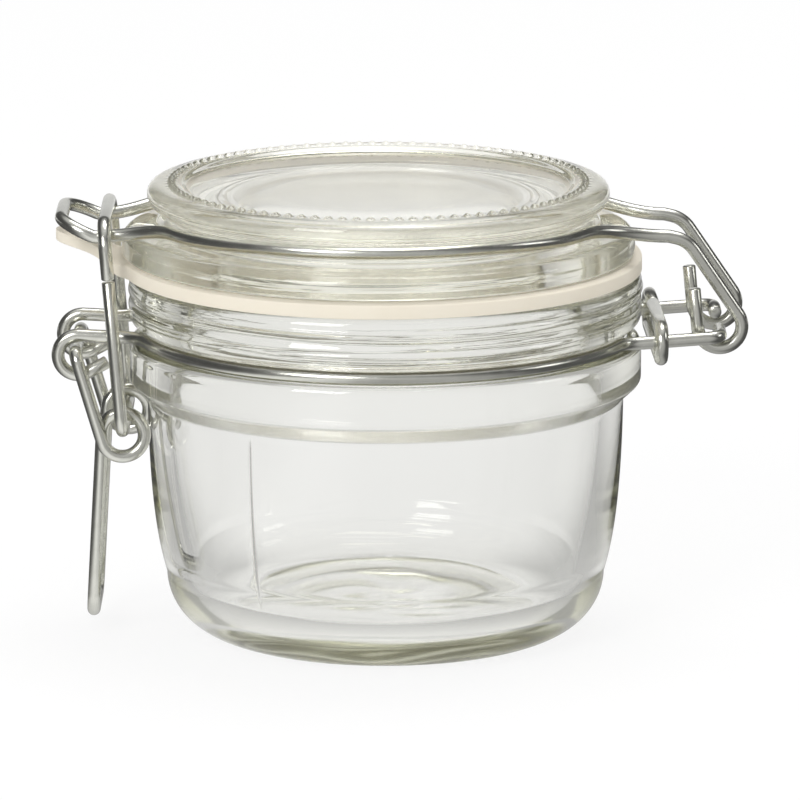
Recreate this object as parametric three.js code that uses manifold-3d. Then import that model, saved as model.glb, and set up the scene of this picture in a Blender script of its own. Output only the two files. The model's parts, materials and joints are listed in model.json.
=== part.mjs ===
// Clamp lid jar of 125 ml: a pressed glass jar, its glass lid on a rubber ring, and the plated wire
// bail that hinges the lid at the back, pulls it down and locks over centre at the front.
// Millimetres, +Z up. The jar's axis is Z and it stands on z = 0, latch at -X and hinge at +X.
import * as THREE from 'three';
import { mergeVertices } from 'three/addons/utils/BufferGeometryUtils.js';
import Module from 'manifold-3d';

// Wire stock and fits
const WIRE = 1.8; // diameter of every bail wire
const FIT = 0.3; // clearance between pieces that bear on each other
const SIDE_PLAY = 0.4; // between wires that lie side by side
const SEAL_GAP = 0.1; // rubber ring to glass, above and below
const BUTT_GAP = 0.3; // where the ends of a closed wire meet

// Glass jar
const NECK_R = 35.1; // collar, lip and the lid's flange
const BASE_R = 22; // flat standing face
const HEEL_R = 8.2; // rounding from the base into the wall
const BODY_BULGE = 1.1; // how far the wall bows out of a straight taper
const BULGE_DROP = 5; // the bow's height below the middle of the wall
const WALL = 3.1;
const FLOOR = 4.4;
const COLLAR_STEP = 2.4; // how far the collar stands out over the body
const COLLAR_RISE = 3.6; // height of the collar's rounded underside
const COLLAR_DROP = 9.3; // neck groove down to the top of the body
const GROOVE_DEPTH = 1; // neck radius to the centre line of the wire in its groove
const NECK_DROP = 8.2; // rim down to the neck groove
const RIM_Z = 50.3;
const LIP_WALL = 7.6;
const LIP_EDGE = 1.5; // rounding of the lip's outer edges
const MOUTH_EDGE = 0.8; // rounding of the rim's inner edge

// Rubber ring
const RUBBER_OVER = 0.5; // how far the ring shows beyond the lip
const RUBBER_THICK = 2.2;
const TAB_REACH = 9; // pull tab, beyond the ring
const TAB_THICK = 1.5;
const TAB_HALF_ROOT = 9;
const TAB_HALF_TIP = 4.2;
const TAB_BEND = 1.7; // ring's edge to where the tab turns up
const TAB_STEEP = 0.77; // share of its rise that the tab makes in that bend
const TAB_CLEAR = 1.45; // tab's end to the lid wire's loop above it

// Glass lid
const PLUG_PLAY = 1.25; // radial, between the lid's plug and the mouth
const PLUG_DEPTH = 4.6;
const PLUG_WALL = 3.4;
const PLUG_EDGE = 1.2; // rounding of the plug's end
const HOLLOW_EDGE = 6; // rounding inside the hollow underside
const CROWN_THICK = 4.2; // glass between the hollow underside and the top panel
const FLANGE_EDGE = 1.7; // upright part of the flange's edge
const FLANGE_ROUND = 0.6; // rounding of its lower corner
const SHOULDER_IN = 2.1; // flange's edge to the flat of its shoulder
const SHOULDER_RISE = 3.4; // sealing face to that flat
const LID_RING_IN = 4.9; // flange's edge to the centre line of the wire in the lid groove
const LID_RING_LIFT = 2.1; // shoulder up to that wire
const CROWN_OVER = 1.4; // how far the crown stands out over the groove
const CROWN_LIFT = 4.2; // lid groove up to the top rim
const CROWN_EDGE = 2.2; // rounding of the top rim's outer edge
const RIM_BAND = 5.2; // crown's edge to the recessed top panel
const PANEL_SLOPE = 0.6;
const PANEL_DROP = 0.8;

// Neck wire: two halves, each with an eye at the front and a hinge pin at the back
const EYE_REACH = 7.75; // neck groove out to the eye's centre
const EYE_DROP = 2.5; // neck groove down to the eye's centre
const EYE_BORE = 3.7;
const EYE_HALF = 7.1; // half the distance between the two eyes
const EYE_BEAR = 122; // degrees, where the pulled lever bears in them
const EYE_TAIL = 3;
const EYE_TAIL_TILT = 29; // degrees, how steeply the free end runs up
const EYE_BEND_R = 5; // from the neck groove into the eye's arm
const HINGE_REACH = 11.4; // neck groove out to the hinge pins
const HINGE_LIFT = 0.8; // neck groove up to the hinge pins
const HINGE_HALF = 11.2; // half the distance between the hinge arms
const HINGE_BEND_R = 4;
const PIN_BEND_R = 1.7;
const PIN_PAST = 1.6; // how far a pin's end shows beyond the hook on it

// Tie ring that keeps the hinge arms together
const TIE_REACH = 1.9; // lip out to the ring
const TIE_SLACK = 0.25; // free height under the arms
const TIE_BUTT = 4; // middle plane to where its ends meet
const TIE_SKEW = 0.45; // how far its ends lie before and behind its middle

// Lid wire: ring, front loop and two hinge hooks
const LOOP_REACH = 9; // flange's edge out to the loop's end
const LOOP_SIDE = 1.3; // loop to the link's legs
const ARM_SINK = 0.8; // past the flange, below a wire that lies on its shoulder
const REAR_SINK = 0.75; // the same at the hinge
const LOOP_TIP_RISE = 2; // the loop's end turns up again
const LOOP_END_R = 4.2;
const LOOP_BEND_R = 13;
const CLIMB_SHARE = 0.85; // share of a bend in which the wire climbs from an arm to the ring
const LEAVE_ANGLE = 66; // degrees from the X axis, where the ring starts to leave its groove
const LEAVE_OUT = 0.9; // how far out of the groove it is where an arm's bend starts
const LEAVE_DROP = 0.5; // how far down it is there
const HOOK_SIDE = 1.4; // hook to the hinge arm beside it
const HOOK_BORE = 4.2;
const HOOK_BEND_R = 14;
const KNEE_BACK = 4.5; // hinge back to where the arms turn down to the hooks
const KNEE_SINK = 1.3; // below a wire that lies on the shoulder
const KNEE_R = 4;
const STUB_RISE = 5.2; // hook's centre up to the free ends
const STUB_LEAN = 6; // degrees, of the free ends towards the jar

// Lever
const COIL_IN = 6.4; // pivot in to the coils
const COIL_DROP = 11.45; // pivot down to the coils
const COIL_BORE = 4;
const COIL_PITCH = 2.3; // across one coil, centre to centre
const LEVER_BEND_R = 1.6;
const HANDLE_Z = 3.3; // lowest bar
const HANDLE_LEAN = 3.3; // degrees, outwards from the jar
const HANDLE_BEND_R = 2.6;

// Link between the lever's coils and the lid wire's loop
const LINK_LEAN = 2.3; // how far its top lies outside the coils
const LINK_PLAY = 2.2; // over the loop, for passing the dead centre
const LINK_BEND_R = 2.6;
const LINK_TOP_R = 3.6; // rounder corners at its top bar
const LINK_BUTT = 8.1; // top bar down to where its ends meet

// Facets
const TURNED = 48; // round a turned piece
const CURVE = 3; // along one curve of a profile
const WIRE_SIDES = 10;
const RING_STEP = 8; // degrees along the large rings
const BEND_STEP = 22; // degrees along the bends

// Radii, levels and places that follow from the sizes
const HALF_WIRE = WIRE / 2;
const SEAT = HALF_WIRE + FIT; // wire centre to the glass that it bears on
const NECK_RING_R = NECK_R - GROOVE_DEPTH;
const NECK_RING_Z = RIM_Z - NECK_DROP;
const BODY_TOP_R = NECK_R - COLLAR_STEP;
const BODY_TOP_Z = NECK_RING_Z - COLLAR_DROP;
const MOUTH_R = NECK_R - LIP_WALL;
const PLUG_R = MOUTH_R - PLUG_PLAY;
const LID_SHIFT = FIT - PLUG_PLAY; // the closed latch draws the lid along X to the mouth's edge
const RUBBER_SHIFT = LID_SHIFT / 2; // the rubber follows half of that
const RUBBER_R = NECK_R + RUBBER_OVER;
const RUBBER_HOLE_R = PLUG_R + FIT + RUBBER_SHIFT - LID_SHIFT;
const RUBBER_Z = RIM_Z + SEAL_GAP;
const LID_Z = RUBBER_Z + RUBBER_THICK + SEAL_GAP;
const SHOULDER_Z = LID_Z + SHOULDER_RISE;
const LID_RING_R = NECK_R - LID_RING_IN;
const LID_RING_Z = SHOULDER_Z + LID_RING_LIFT;
const TOP_Z = LID_RING_Z + CROWN_LIFT;
const seated = (bore) => (bore - WIRE) / 2 - FIT; // bore's centre to a wire that bears on its inside
const EYE = new THREE.Vector2(-NECK_RING_R - EYE_REACH, NECK_RING_Z - EYE_DROP);
const PIVOT = onArc(EYE, seated(EYE_BORE), EYE_BEAR);
const COIL = new THREE.Vector2(PIVOT.x + COIL_IN, PIVOT.y - COIL_DROP);
const HINGE = new THREE.Vector2(NECK_RING_R + HINGE_REACH, NECK_RING_Z + HINGE_LIFT);
const HOOK = new THREE.Vector2(HINGE.x, HINGE.y + seated(HOOK_BORE));
const HOOK_HALF = HINGE_HALF - WIRE - HOOK_SIDE;
const LEVER_HALF = EYE_HALF + WIRE + SIDE_PLAY;
const LINK_HALF = LEVER_HALF + WIRE + SIDE_PLAY;
const LOOP_HALF = LINK_HALF - WIRE - LOOP_SIDE;
const ON_SHOULDER = SHOULDER_Z + HALF_WIRE;
const ARM_Z = ON_SHOULDER - ARM_SINK;
const REAR_Z = ON_SHOULDER - REAR_SINK;
const LOOP_TIP = new THREE.Vector2(-NECK_R - LOOP_REACH, ARM_Z + LOOP_TIP_RISE);

const GLASS = { color: 0xe4e9e3, roughness: 0.05, metalness: 0, transparent: true, opacity: 0.4 };
const RUBBER = { color: 0xefe6d3, roughness: 0.6, metalness: 0 };
const STEEL = { color: 0xb9b8b2, roughness: 0.28, metalness: 1 };

const jar = new THREE.Group();

function addPiece(name, geometry, finish) {
  const piece = new THREE.Mesh(geometry, new THREE.MeshStandardMaterial(finish));
  piece.name = name;
  jar.add(piece);
}

// A turned piece: the profile's x is the radius and its y the height.
function turned(profile) {
  return new THREE.LatheGeometry(profile.getPoints(CURVE), TURNED).rotateX(Math.PI / 2);
}

const radians = THREE.MathUtils.degToRad;
const wasm = await Module();
wasm.setup();

// A closed geometry as a solid that can be joined or cut, and back again.
function toSolid(geometry) {
  const bare = geometry.clone();
  bare.deleteAttribute('normal');
  bare.deleteAttribute('uv');
  const merged = mergeVertices(bare);
  const vertProperties = new Float32Array(merged.attributes.position.array);
  const triVerts = new Uint32Array(merged.index.array);
  return new wasm.Manifold(new wasm.Mesh({ numProp: 3, vertProperties, triVerts }));
}

function toGeometry(solid) {
  const mesh = solid.getMesh();
  const geometry = new THREE.BufferGeometry();
  geometry.setAttribute('position', new THREE.BufferAttribute(mesh.vertProperties, 3));
  geometry.setIndex(new THREE.BufferAttribute(mesh.triVerts, 1));
  return geometry;
}

function onArc(centre, radius, degrees) {
  const angle = THREE.MathUtils.degToRad(degrees);
  return new THREE.Vector2(centre.x + radius * Math.cos(angle), centre.y + radius * Math.sin(angle));
}

// Points along an arc of a plane, both ends included.
function arc(centre, radius, from, to, step) {
  const count = Math.max(1, Math.ceil(Math.abs(to - from) / step));
  return Array.from({ length: count + 1 }, (_, i) => onArc(centre, radius, from + ((to - from) * i) / count));
}

// From an upright plane y = const, whose 2-D points hold x and z.
const upright = (points, y) => points.map((p) => new THREE.Vector3(p.x, y, p.y));
const level = (points, z) => points.map((p) => new THREE.Vector3(p.x, p.y, z));
const mirrored = (points) => points.map((p) => new THREE.Vector3(p.x, -p.y, p.z));

// Rounds the corner at b of the line a-b-c with a bend of the given radius.
function bend(a, b, c, radius) {
  const back = a.clone().sub(b).normalize();
  const on = c.clone().sub(b).normalize();
  const half = back.angleTo(on) / 2;
  const setback = radius / Math.tan(half);
  const middle = back.clone().add(on).normalize().multiplyScalar(radius / Math.sin(half)).add(b);
  const start = back.clone().multiplyScalar(setback).add(b).sub(middle);
  const turn = Math.PI - 2 * half;
  const axis = back.clone().cross(on).normalize();
  const count = Math.max(2, Math.ceil(THREE.MathUtils.radToDeg(turn) / BEND_STEP));
  return Array.from({ length: count + 1 }, (_, i) =>
    start.clone().applyAxisAngle(axis, (-turn * i) / count).add(middle),
  );
}

// Where a wire leaves a ring of the given radius for an arm at a half width from the middle plane:
// the centre of the bend between them, and the ring's angle from the X axis there.
function ringExit(ringRadius, half, bendRadius) {
  const across = half + bendRadius;
  const along = Math.sqrt((ringRadius + bendRadius) ** 2 - across ** 2);
  return { along, across, angle: THREE.MathUtils.radToDeg(Math.atan2(across, along)) };
}

// A wire's centre line, with points close together in its bends and far apart on its straights.
class WireLine extends THREE.Curve {
  constructor(points) {
    super();
    this.points = points.filter((p, i) => i === 0 || p.distanceTo(points[i - 1]) > 0.05);
  }

  getPointAt(u) {
    return this.points[Math.round(u * (this.points.length - 1))].clone();
  }

  getTangentAt(u) {
    const last = this.points.length - 1;
    const i = Math.round(u * last);
    const here = this.points[i];
    const before = i > 0 ? here.clone().sub(this.points[i - 1]).normalize() : new THREE.Vector3();
    const after = i < last ? this.points[i + 1].clone().sub(here).normalize() : new THREE.Vector3();
    return before.add(after).normalize();
  }
}

function wire(points) {
  const line = new WireLine(points);
  const section = new THREE.Shape().absarc(0, 0, HALF_WIRE, 0, 2 * Math.PI);
  return new THREE.ExtrudeGeometry(section, {
    steps: line.points.length - 1,
    curveSegments: WIRE_SIDES / 2,
    extrudePath: line,
  });
}

// Glass jar: tapered body on a rounded heel, a collar, the groove for the neck wire and a thick lip.
function glassJar() {
  const heelTopR = BASE_R + HEEL_R;
  const bowR = (heelTopR + BODY_TOP_R) / 2 + BODY_BULGE;
  const middleZ = (HEEL_R + BODY_TOP_Z) / 2;
  const collarZ = BODY_TOP_Z + COLLAR_RISE;
  const lipZ = NECK_RING_Z + SEAT;
  const innerTopR = BODY_TOP_R - WALL;
  const innerHeelZ = FLOOR + HEEL_R;
  const rimR = MOUTH_R + MOUTH_EDGE;
  const profile = new THREE.Path();
  profile.moveTo(0, 0);
  profile.lineTo(BASE_R, 0);
  profile.absarc(BASE_R, HEEL_R, HEEL_R, -Math.PI / 2, 0);
  profile.quadraticCurveTo(bowR, middleZ - BULGE_DROP, BODY_TOP_R, BODY_TOP_Z);
  profile.quadraticCurveTo(NECK_R, BODY_TOP_Z + COLLAR_RISE / 2, NECK_R, collarZ);
  profile.quadraticCurveTo(NECK_R, NECK_RING_Z - SEAT, NECK_RING_R, NECK_RING_Z - SEAT);
  profile.absarc(NECK_RING_R, NECK_RING_Z, SEAT, -Math.PI / 2, Math.PI / 2, true);
  profile.quadraticCurveTo(NECK_R, lipZ, NECK_R, lipZ + LIP_EDGE);
  profile.lineTo(NECK_R, RIM_Z - LIP_EDGE);
  profile.quadraticCurveTo(NECK_R, RIM_Z, NECK_R - LIP_EDGE, RIM_Z);
  profile.lineTo(rimR, RIM_Z);
  profile.absarc(rimR, RIM_Z - MOUTH_EDGE, MOUTH_EDGE, Math.PI / 2, Math.PI);
  profile.lineTo(MOUTH_R, NECK_RING_Z);
  profile.quadraticCurveTo(innerTopR, collarZ, innerTopR, BODY_TOP_Z);
  profile.quadraticCurveTo(bowR - WALL, middleZ, heelTopR - WALL, innerHeelZ);
  profile.absarc(BASE_R - WALL, innerHeelZ, HEEL_R, 0, -Math.PI / 2, true);
  profile.lineTo(0, FLOOR);
  return turned(profile);
}

// Glass lid: hollow plug, sealing flange with a rounded shoulder, the groove for the lid wire and a
// crown with a recessed panel.
function glassLid() {
  const ceiling = TOP_Z - PANEL_DROP - CROWN_THICK;
  const plugZ = LID_Z - PLUG_DEPTH;
  const hollowR = PLUG_R - PLUG_WALL;
  const endR = PLUG_R - PLUG_WALL / 2;
  const crownZ = LID_RING_Z + SEAT;
  const crownR = LID_RING_R + CROWN_OVER;
  const panelR = crownR - RIM_BAND;
  const profile = new THREE.Path();
  profile.moveTo(0, ceiling);
  profile.lineTo(hollowR - HOLLOW_EDGE, ceiling);
  profile.quadraticCurveTo(hollowR, ceiling, hollowR, ceiling - HOLLOW_EDGE);
  profile.lineTo(hollowR, plugZ + PLUG_EDGE);
  profile.quadraticCurveTo(hollowR, plugZ, endR, plugZ);
  profile.quadraticCurveTo(PLUG_R, plugZ, PLUG_R, plugZ + PLUG_EDGE);
  profile.lineTo(PLUG_R, LID_Z);
  profile.lineTo(NECK_R - FLANGE_ROUND, LID_Z);
  profile.quadraticCurveTo(NECK_R, LID_Z, NECK_R, LID_Z + FLANGE_ROUND);
  profile.lineTo(NECK_R, LID_Z + FLANGE_EDGE);
  profile.quadraticCurveTo(NECK_R, SHOULDER_Z, NECK_R - SHOULDER_IN, SHOULDER_Z);
  profile.quadraticCurveTo(LID_RING_R, SHOULDER_Z, LID_RING_R, LID_RING_Z - SEAT);
  profile.absarc(LID_RING_R, LID_RING_Z, SEAT, -Math.PI / 2, Math.PI / 2, true);
  profile.quadraticCurveTo(crownR, crownZ, crownR, (crownZ + TOP_Z) / 2);
  profile.quadraticCurveTo(crownR, TOP_Z, crownR - CROWN_EDGE, TOP_Z);
  profile.lineTo(panelR + PANEL_SLOPE, TOP_Z);
  profile.lineTo(panelR, TOP_Z - PANEL_DROP);
  profile.lineTo(0, TOP_Z - PANEL_DROP);
  return turned(profile).translate(LID_SHIFT, 0, 0);
}

// Rubber ring with a pull tab that bends up between the legs of the link.
function rubberRing() {
  const round = new THREE.Shape().absarc(0, 0, RUBBER_R, 0, 2 * Math.PI);
  round.holes.push(new THREE.Path().absarc(0, 0, RUBBER_HOLE_R, 0, 2 * Math.PI, true));
  const flat = { depth: RUBBER_THICK, bevelEnabled: false, curveSegments: TURNED / 2 };
  const ring = new THREE.ExtrudeGeometry(round, flat).translate(0, 0, RUBBER_Z);

  // The tab seen from above, with hollow sides where it grows out of the ring
  const rootX = -Math.sqrt(RUBBER_R ** 2 - TAB_HALF_ROOT ** 2);
  const tipX = -RUBBER_R - TAB_REACH;
  const bendX = -RUBBER_R - TAB_BEND;
  const innerX = rootX + TAB_THICK;
  const plan = new THREE.Shape();
  plan.moveTo(innerX, -TAB_HALF_ROOT);
  plan.lineTo(innerX, TAB_HALF_ROOT);
  plan.lineTo(rootX, TAB_HALF_ROOT);
  plan.quadraticCurveTo(bendX, TAB_HALF_TIP, tipX + TAB_HALF_TIP, TAB_HALF_TIP);
  plan.absarc(tipX + TAB_HALF_TIP, 0, TAB_HALF_TIP, Math.PI / 2, 1.5 * Math.PI);
  plan.quadraticCurveTo(bendX, -TAB_HALF_TIP, rootX, -TAB_HALF_ROOT);

  // The same tab seen from the side: thinner than the ring, bent up where it comes out of the joint
  const tabTopZ = LOOP_TIP.y - HALF_WIRE - TAB_CLEAR - RUBBER_Z;
  const tipZ = tabTopZ - TAB_THICK;
  const kneeZ = tipZ * TAB_STEEP;
  const side = new THREE.Shape();
  side.moveTo(innerX, 0);
  side.lineTo(-RUBBER_R, 0);
  side.bezierCurveTo(bendX, 0, bendX, kneeZ, tipX, tipZ);
  side.lineTo(tipX, tabTopZ);
  side.bezierCurveTo(bendX + TAB_THICK, kneeZ + TAB_THICK, -RUBBER_R, TAB_THICK, -RUBBER_R, TAB_THICK);
  side.lineTo(innerX, TAB_THICK);

  const tall = { depth: 2 * tabTopZ, bevelEnabled: false, curveSegments: CURVE };
  const wide = { depth: 2 * TAB_HALF_ROOT, bevelEnabled: false, curveSegments: 3 * CURVE };
  const above = new THREE.ExtrudeGeometry(plan, tall).translate(0, 0, RUBBER_Z - tabTopZ / 2);
  const across = new THREE.ExtrudeGeometry(side, wide).rotateX(Math.PI / 2);
  const strip = across.translate(0, TAB_HALF_ROOT, RUBBER_Z);
  const whole = toSolid(ring).add(toSolid(strip).intersect(toSolid(above)));
  return toGeometry(whole).translate(RUBBER_SHIFT, 0, 0);
}

// Half of the neck wire, on the -Y side: eye, half ring in the groove, hinge arm and pin.
function neckHalf() {
  const eyeR = EYE_BORE / 2 + HALF_WIRE;
  const tailAngle = EYE_TAIL_TILT - 90;
  const tail = new THREE.Vector2(Math.cos(radians(EYE_TAIL_TILT)), Math.sin(radians(EYE_TAIL_TILT)));
  const tailEnd = onArc(EYE, eyeR, tailAngle).addScaledVector(tail, EYE_TAIL);
  const front = ringExit(NECK_RING_R, EYE_HALF, EYE_BEND_R);
  const rear = ringExit(NECK_RING_R, HINGE_HALF, HINGE_BEND_R);
  const frontBend = new THREE.Vector2(-front.along, -front.across);
  const rearBend = new THREE.Vector2(rear.along, -rear.across);
  const axis = new THREE.Vector2(0, 0);
  const pinCorner = new THREE.Vector3(HINGE.x, -HINGE_HALF, HINGE.y);
  const pinEnd = new THREE.Vector3(HINGE.x, -HOOK_HALF + HALF_WIRE + PIN_PAST, HINGE.y);
  const armStart = new THREE.Vector3(rear.along, -HINGE_HALF, NECK_RING_Z);
  return [
    ...upright([tailEnd, ...arc(EYE, eyeR, tailAngle, -270, BEND_STEP)], -EYE_HALF),
    ...level(arc(frontBend, EYE_BEND_R, 90, front.angle, BEND_STEP), NECK_RING_Z),
    ...level(arc(axis, NECK_RING_R, 180 + front.angle, 360 - rear.angle, RING_STEP), NECK_RING_Z),
    ...level(arc(rearBend, HINGE_BEND_R, 180 - rear.angle, 90, BEND_STEP), NECK_RING_Z),
    ...bend(armStart, pinCorner, pinEnd, PIN_BEND_R),
    pinEnd,
  ];
}

// Oval tie ring round both hinge arms, hanging on them.
function tieRing() {
  const x = NECK_R + TIE_REACH;
  const armZ = THREE.MathUtils.mapLinear(x, NECK_RING_R, HINGE.x, NECK_RING_Z, HINGE.y);
  const topZ = armZ + WIRE + FIT;
  const halfHeight = WIRE + FIT + TIE_SLACK / 2;
  const halfWidth = HINGE_HALF + WIRE + SIDE_PLAY;
  const endY = halfWidth - halfHeight;
  const middleZ = topZ - halfHeight;
  const far = arc(new THREE.Vector2(endY, middleZ), halfHeight, 90, -90, BEND_STEP);
  const near = arc(new THREE.Vector2(-endY, middleZ), halfHeight, -90, -270, BEND_STEP);
  const starts = new THREE.Vector2(TIE_BUTT + BUTT_GAP, topZ);
  const ends = new THREE.Vector2(TIE_BUTT, topZ);
  const skewed = (y) => x - (TIE_SKEW * y) / halfWidth;
  return [starts, ...far, ...near, ends].map((p) => new THREE.Vector3(skewed(p.x), p.x, p.y));
}

// Half of the lid wire, on the -Y side: from the middle of the front loop to the end of a hook.
function lidWireHalf() {
  const leaveR = LID_RING_R + LEAVE_OUT;
  const leaveZ = LID_RING_Z - LEAVE_DROP;
  const front = ringExit(leaveR, LOOP_HALF, LOOP_BEND_R);
  const rear = ringExit(leaveR, HOOK_HALF, HOOK_BEND_R);
  const frontBend = new THREE.Vector2(LID_SHIFT - front.along, -front.across);
  const rearBend = new THREE.Vector2(LID_SHIFT + rear.along, -rear.across);
  const climb = (points, armZ) =>
    points.map((p, i) => {
      const rise = THREE.MathUtils.smoothstep(i / (points.length - 1), 0, CLIMB_SHARE);
      return new THREE.Vector3(p.x, p.y, THREE.MathUtils.lerp(armZ, leaveZ, rise));
    });
  const quarter = (exitAngle, side) => {
    const count = Math.ceil((90 - exitAngle) / RING_STEP);
    return Array.from({ length: count + 1 }, (_, i) => {
      const angle = THREE.MathUtils.lerp(exitAngle, 90, i / count);
      const seat = THREE.MathUtils.smoothstep(angle, exitAngle, LEAVE_ANGLE);
      const radius = THREE.MathUtils.lerp(leaveR, LID_RING_R, seat);
      const x = LID_SHIFT + side * radius * Math.cos(radians(angle));
      const y = -radius * Math.sin(radians(angle));
      return new THREE.Vector3(x, y, THREE.MathUtils.lerp(leaveZ, LID_RING_Z, seat));
    });
  };
  const loopStart = new THREE.Vector3(frontBend.x, -LOOP_HALF, ARM_Z);
  const loopCorner = new THREE.Vector3(LOOP_TIP.x, -LOOP_HALF, LOOP_TIP.y);
  const loopTip = new THREE.Vector3(LOOP_TIP.x, 0, LOOP_TIP.y);
  const hookR = HOOK_BORE / 2 + HALF_WIRE;
  const knee = new THREE.Vector3(HINGE.x - KNEE_BACK, -HOOK_HALF, ON_SHOULDER - KNEE_SINK);
  const toHook = new THREE.Vector2(HOOK.x - knee.x, HOOK.y - knee.z);
  const span = Math.acos(hookR / toHook.length());
  const enter = THREE.MathUtils.radToDeg(Math.atan2(-toHook.y, -toHook.x) - span);
  const hook = arc(HOOK, hookR, enter, STUB_LEAN - 180, BEND_STEP);
  const stubStart = hook[hook.length - 1];
  const stubZ = HOOK.y + STUB_RISE;
  const stubX = stubStart.x - (stubZ - stubStart.y) * Math.tan(radians(STUB_LEAN));
  const stub = new THREE.Vector2(stubX, stubZ);
  const rearArm = new THREE.Vector3(rearBend.x, -HOOK_HALF, REAR_Z);
  const hookStart = new THREE.Vector3(hook[0].x, -HOOK_HALF, hook[0].y);
  return [
    loopTip,
    ...bend(loopTip, loopCorner, loopStart, LOOP_END_R),
    ...climb(arc(frontBend, LOOP_BEND_R, 90, front.angle, BEND_STEP / 2), ARM_Z),
    ...quarter(front.angle, -1),
    ...quarter(rear.angle, 1).reverse(),
    ...climb(arc(rearBend, HOOK_BEND_R, 90, 180 - rear.angle, BEND_STEP / 2), REAR_Z).reverse(),
    ...bend(rearArm, knee, hookStart, KNEE_R),
    ...upright([...hook, stub], -HOOK_HALF),
  ];
}

// Half of the lever, on the -Y side: from the middle of the pivot bar by way of one coil to the middle
// of the handle's end.
function leverHalf() {
  const coilR = COIL_BORE / 2 + HALF_WIRE;
  const handleHalf = LEVER_HALF - COIL_PITCH;
  const toCoil = COIL.clone().sub(PIVOT);
  const span = THREE.MathUtils.radToDeg(Math.acos(coilR / toCoil.length()));
  const enter = THREE.MathUtils.radToDeg(Math.atan2(-toCoil.y, -toCoil.x)) + span;
  const leave = 540 - HANDLE_LEAN;
  const turns = arc(COIL, coilR, enter, leave, BEND_STEP);
  const coil = turns.map((p, i) => {
    const t = i / (turns.length - 1);
    return new THREE.Vector3(p.x, THREE.MathUtils.lerp(-LEVER_HALF, -handleHalf, t), p.y);
  });
  const legEnd = coil[coil.length - 1];
  const drop = legEnd.z - HANDLE_Z;
  const handleX = legEnd.x - drop * Math.tan(radians(HANDLE_LEAN));
  const barStart = new THREE.Vector3(PIVOT.x, -BUTT_GAP / 2, PIVOT.y);
  const barCorner = new THREE.Vector3(PIVOT.x, -LEVER_HALF, PIVOT.y);
  const handleCorner = new THREE.Vector3(handleX, -handleHalf, HANDLE_Z);
  const handleMiddle = new THREE.Vector3(handleX, 0, HANDLE_Z);
  return [
    barStart,
    ...bend(barStart, barCorner, coil[0], LEVER_BEND_R),
    ...coil,
    ...bend(legEnd, handleCorner, handleMiddle, HANDLE_BEND_R),
    handleMiddle,
  ];
}

// Link: a closed frame of wire through both coils and over the lid wire's loop.
function link() {
  const topX = COIL.x - LINK_LEAN;
  const topZ = ARM_Z + WIRE + LINK_PLAY;
  const bottomZ = COIL.y + seated(COIL_BORE);
  const buttZ = topZ - LINK_BUTT;
  const nearTop = new THREE.Vector3(topX, -LINK_HALF, topZ);
  const farTop = new THREE.Vector3(topX, LINK_HALF, topZ);
  const nearBottom = new THREE.Vector3(COIL.x, -LINK_HALF, bottomZ);
  const farBottom = new THREE.Vector3(COIL.x, LINK_HALF, bottomZ);
  const onLeg = (z) => nearBottom.clone().lerp(nearTop, (z - bottomZ) / (topZ - bottomZ));
  return [
    onLeg(buttZ + BUTT_GAP),
    ...bend(nearBottom, nearTop, farTop, LINK_TOP_R),
    ...bend(nearTop, farTop, farBottom, LINK_TOP_R),
    ...bend(farTop, farBottom, nearBottom, LINK_BEND_R),
    ...bend(farBottom, nearBottom, nearTop, LINK_BEND_R),
    onLeg(buttZ),
  ];
}

// A whole symmetric wire from its half on the -Y side, joined at the half's given end.
const wholeFromStart = (half) => [...mirrored(half).reverse(), ...half.slice(1)];
const wholeFromEnd = (half) => [...half, ...mirrored(half).reverse().slice(1)];

addPiece('glass_jar', glassJar(), GLASS);
addPiece('glass_lid', glassLid(), GLASS);
addPiece('rubber_ring', rubberRing(), RUBBER);
addPiece('neck_wire_near', wire(neckHalf()), STEEL);
addPiece('neck_wire_far', wire(mirrored(neckHalf())), STEEL);
addPiece('rear_tie_ring', wire(tieRing()), STEEL);
addPiece('lid_wire', wire(wholeFromStart(lidWireHalf())), STEEL);
addPiece('closing_lever', wire(wholeFromEnd(leverHalf())), STEEL);
addPiece('tension_link', wire(link()), STEEL);

export default jar;
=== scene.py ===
import json
import math

import bmesh
import bpy
import numpy as np
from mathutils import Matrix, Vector


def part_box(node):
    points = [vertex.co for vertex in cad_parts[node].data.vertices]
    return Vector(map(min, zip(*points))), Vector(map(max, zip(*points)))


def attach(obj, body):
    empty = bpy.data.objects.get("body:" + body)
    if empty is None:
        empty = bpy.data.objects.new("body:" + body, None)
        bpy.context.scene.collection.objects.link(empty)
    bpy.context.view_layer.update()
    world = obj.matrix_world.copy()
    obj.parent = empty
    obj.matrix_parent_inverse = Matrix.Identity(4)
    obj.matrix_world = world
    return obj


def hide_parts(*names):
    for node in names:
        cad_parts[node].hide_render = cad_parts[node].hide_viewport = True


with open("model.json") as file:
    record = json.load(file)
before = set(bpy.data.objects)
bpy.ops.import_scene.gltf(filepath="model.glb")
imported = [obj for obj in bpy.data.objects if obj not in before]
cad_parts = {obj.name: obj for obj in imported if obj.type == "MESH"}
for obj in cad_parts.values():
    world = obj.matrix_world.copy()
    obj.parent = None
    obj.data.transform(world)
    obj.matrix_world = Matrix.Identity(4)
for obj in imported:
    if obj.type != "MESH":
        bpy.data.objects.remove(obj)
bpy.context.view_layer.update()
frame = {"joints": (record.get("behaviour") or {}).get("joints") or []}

# Camera: a long lens a little above the rim, square to the line from the latch to the hinge, as the jar
# was photographed. The picture is square, and its width is given at the distance of the jar's axis.
MM = 0.001
CAMERA_DISTANCE = 900 * MM
CAMERA_ELEVATION = math.radians(12.5)
LOOK_AT = Vector((2.0, 0, 31.72)) * MM
PICTURE_WIDTH = 110.08 * MM

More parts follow.
